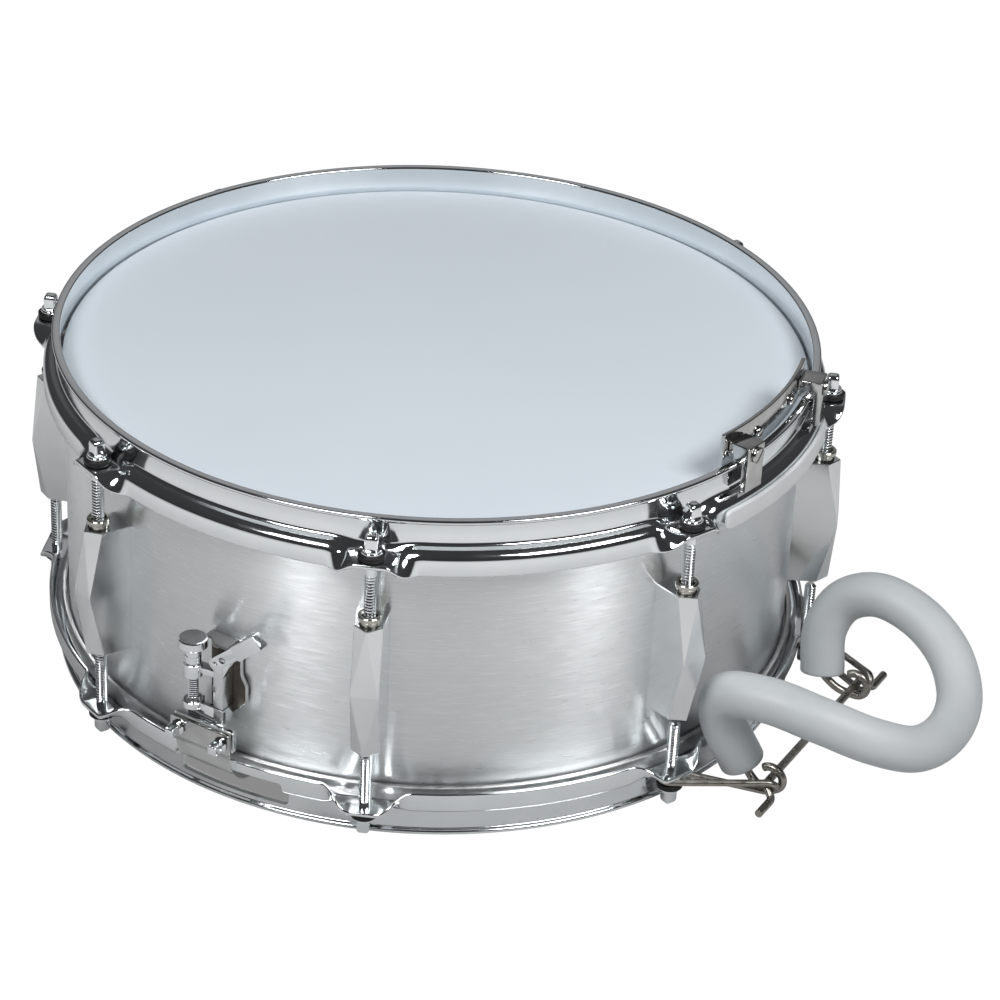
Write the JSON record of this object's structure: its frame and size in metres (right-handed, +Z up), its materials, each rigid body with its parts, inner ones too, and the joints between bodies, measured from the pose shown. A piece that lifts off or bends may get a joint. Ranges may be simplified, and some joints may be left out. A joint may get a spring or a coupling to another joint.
{
  "type": "marching snare drum",
  "caption": "Metal-shell marching snare drum with flanged hoops, tension rods, throw-off strainer, snare wires, carry rail and a folding padded leg rest.",
  "frame": {"origin": "centre of the batter head's playing surface", "axes": "+Z up, square to the batter head; +X towards the carry rail and the leg rest; the snare strainer is near -Y"},
  "size_m": [0.4783, 0.402, 0.1791],
  "materials": {
    "chrome": "mirror",
    "brushed_aluminium": "brushed",
    "cast_aluminium": "satin",
    "dull_steel": "satin",
    "snare_steel": "satin",
    "black_nylon": "satin",
    "coated_film": "matte",
    "clear_film": "gloss",
    "white_rubber": "satin",
    "grey_hose": "satin"
  },
  "bodies": {
    "drum": {"shell": "brushed_aluminium", "batter_head": "coated_film", "batter_flesh_hoop": "cast_aluminium", "top_hoop": "chrome", "snare_side_head": "clear_film", "snare_flesh_hoop": "cast_aluminium", "bottom_hoop": "chrome", "strainer_base": "cast_aluminium", "strainer_lever_pin": "dull_steel", "strainer_strap": "clear_film", "snare_wires": "snare_steel", "butt_bracket": "cast_aluminium", "butt_clamp_plate": "chrome", "butt_strap": "clear_film", "carry_rail": "dull_steel", "hoop_guard": "white_rubber", "leg_rest_crossbar": "dull_steel", "lug_1": "chrome", "lug_2": "chrome", "lug_3": "chrome", "lug_4": "chrome", "lug_5": "chrome", "lug_6": "chrome", "lug_7": "chrome", "lug_8": "chrome", "butt_clamp_screw_1": "chrome", "carry_post_1": "dull_steel", "carry_post_screw_1": "dull_steel", "carry_rail_screw_1": "dull_steel", "leg_rest_link_1": "dull_steel", "butt_clamp_screw_2": "chrome", "carry_post_2": "dull_steel", "carry_post_screw_2": "dull_steel", "carry_rail_screw_2": "dull_steel", "leg_rest_link_2": "dull_steel"},
    "top_rod_1": {"top_rod_1": "chrome"},
    "bottom_rod_1": {"bottom_rod_1": "chrome"},
    "top_rod_2": {"top_rod_2": "chrome"},
    "bottom_rod_2": {"bottom_rod_2": "chrome"},
    "top_rod_3": {"top_rod_3": "chrome"},
    "bottom_rod_3": {"bottom_rod_3": "chrome"},
    "top_rod_4": {"top_rod_4": "chrome"},
    "bottom_rod_4": {"bottom_rod_4": "chrome"},
    "top_rod_5": {"top_rod_5": "chrome"},
    "bottom_rod_5": {"bottom_rod_5": "chrome"},
    "top_rod_6": {"top_rod_6": "chrome"},
    "bottom_rod_6": {"bottom_rod_6": "chrome"},
    "top_rod_7": {"top_rod_7": "chrome"},
    "bottom_rod_7": {"bottom_rod_7": "chrome"},
    "top_rod_8": {"top_rod_8": "chrome"},
    "bottom_rod_8": {"bottom_rod_8": "chrome"},
    "strainer_lever": {"strainer_lever": "chrome"},
    "strainer_yoke": {"strainer_yoke": "chrome"},
    "strainer_knob": {"strainer_knob": "chrome"},
    "strainer_carriage": {"strainer_carriage": "chrome", "strainer_clamp_plate": "chrome", "strainer_clamp_screw_1": "chrome", "strainer_clamp_screw_2": "chrome"},
    "leg_rest": {"leg_rest_rod": "dull_steel", "leg_rest_hose": "grey_hose"}
  },
  "joints": [
    {"name": "top_rod_1_turn", "type": "hinge", "parent": "drum", "child": "top_rod_1", "pos_m": [-0.17517, -0.07256, -0.0173], "axis": [0, 0, 1], "continuous": true},
    {"name": "bottom_rod_1_turn", "type": "hinge", "parent": "drum", "child": "bottom_rod_1", "pos_m": [-0.17517, -0.07256, -0.124], "axis": [0, 0, 1], "continuous": true},
    {"name": "top_rod_2_turn", "type": "hinge", "parent": "drum", "child": "top_rod_2", "pos_m": [-0.07256, -0.17517, -0.0173], "axis": [0, 0, 1], "continuous": true},
    {"name": "bottom_rod_2_turn", "type": "hinge", "parent": "drum", "child": "bottom_rod_2", "pos_m": [-0.07256, -0.17517, -0.124], "axis": [0, 0, 1], "continuous": true},
    {"name": "top_rod_3_turn", "type": "hinge", "parent": "drum", "child": "top_rod_3", "pos_m": [0.07256, -0.17517, -0.0173], "axis": [0, 0, 1], "continuous": true},
    {"name": "bottom_rod_3_turn", "type": "hinge", "parent": "drum", "child": "bottom_rod_3", "pos_m": [0.07256, -0.17517, -0.124], "axis": [0, 0, 1], "continuous": true},
    {"name": "top_rod_4_turn", "type": "hinge", "parent": "drum", "child": "top_rod_4", "pos_m": [0.17517, -0.07256, -0.0173], "axis": [0, 0, 1], "continuous": true},
    {"name": "bottom_rod_4_turn", "type": "hinge", "parent": "drum", "child": "bottom_rod_4", "pos_m": [0.17517, -0.07256, -0.124], "axis": [0, 0, 1], "continuous": true},
    {"name": "top_rod_5_turn", "type": "hinge", "parent": "drum", "child": "top_rod_5", "pos_m": [0.17517, 0.07256, -0.0173], "axis": [0, 0, 1], "continuous": true},
    {"name": "bottom_rod_5_turn", "type": "hinge", "parent": "drum", "child": "bottom_rod_5", "pos_m": [0.17517, 0.07256, -0.124], "axis": [0, 0, 1], "continuous": true},
    {"name": "top_rod_6_turn", "type": "hinge", "parent": "drum", "child": "top_rod_6", "pos_m": [0.07256, 0.17517, -0.0173], "axis": [0, 0, 1], "continuous": true},
    {"name": "bottom_rod_6_turn", "type": "hinge", "parent": "drum", "child": "bottom_rod_6", "pos_m": [0.07256, 0.17517, -0.124], "axis": [0, 0, 1], "continuous": true},
    {"name": "top_rod_7_turn", "type": "hinge", "parent": "drum", "child": "top_rod_7", "pos_m": [-0.07256, 0.17517, -0.0173], "axis": [0, 0, 1], "continuous": true},
    {"name": "bottom_rod_7_turn", "type": "hinge", "parent": "drum", "child": "bottom_rod_7", "pos_m": [-0.07256, 0.17517, -0.124], "axis": [0, 0, 1], "continuous": true},
    {"name": "top_rod_8_turn", "type": "hinge", "parent": "drum", "child": "top_rod_8", "pos_m": [-0.17517, 0.07256, -0.0173], "axis": [0, 0, 1], "continuous": true},
    {"name": "bottom_rod_8_turn", "type": "hinge", "parent": "drum", "child": "bottom_rod_8", "pos_m": [-0.17517, 0.07256, -0.124], "axis": [0, 0, 1], "continuous": true},
    {"name": "strainer_lever_throw", "type": "hinge", "parent": "drum", "child": "strainer_lever", "pos_m": [0.00175, -0.18979, -0.0769], "axis": [-0.0366, -0.9993, 0], "range_deg": [-75, 0]},
    {"name": "strainer_yoke_slide", "type": "slide", "parent": "drum", "child": "strainer_yoke", "axis": [0, 0, -1], "range_m": [0, 0.00727], "deforming": ["strainer_strap"]},
    {"name": "strainer_knob_turn", "type": "hinge", "parent": "strainer_yoke", "child": "strainer_knob", "pos_m": [-0.0098, -0.19077, -0.0837], "axis": [0, 0, 1], "range_deg": [-360, 540]},
    {"name": "strainer_carriage_slide", "type": "slide", "parent": "strainer_yoke", "child": "strainer_carriage", "axis": [0, 0, 1], "range_m": [-0.00119, 0.00079]},
    {"name": "leg_rest_fold", "type": "hinge", "parent": "drum", "child": "leg_rest", "pos_m": [0.2146, 0, -0.1395], "axis": [0, 1, 0], "range_deg": [0, 120]}
  ],
  "couplings": [
    {"joint": "strainer_lever_throw", "follows": "strainer_yoke_slide", "rad_per_m": -179.86},
    {"joint": "strainer_knob_turn", "follows": "strainer_carriage_slide", "rad_per_m": -7874}
  ]
}
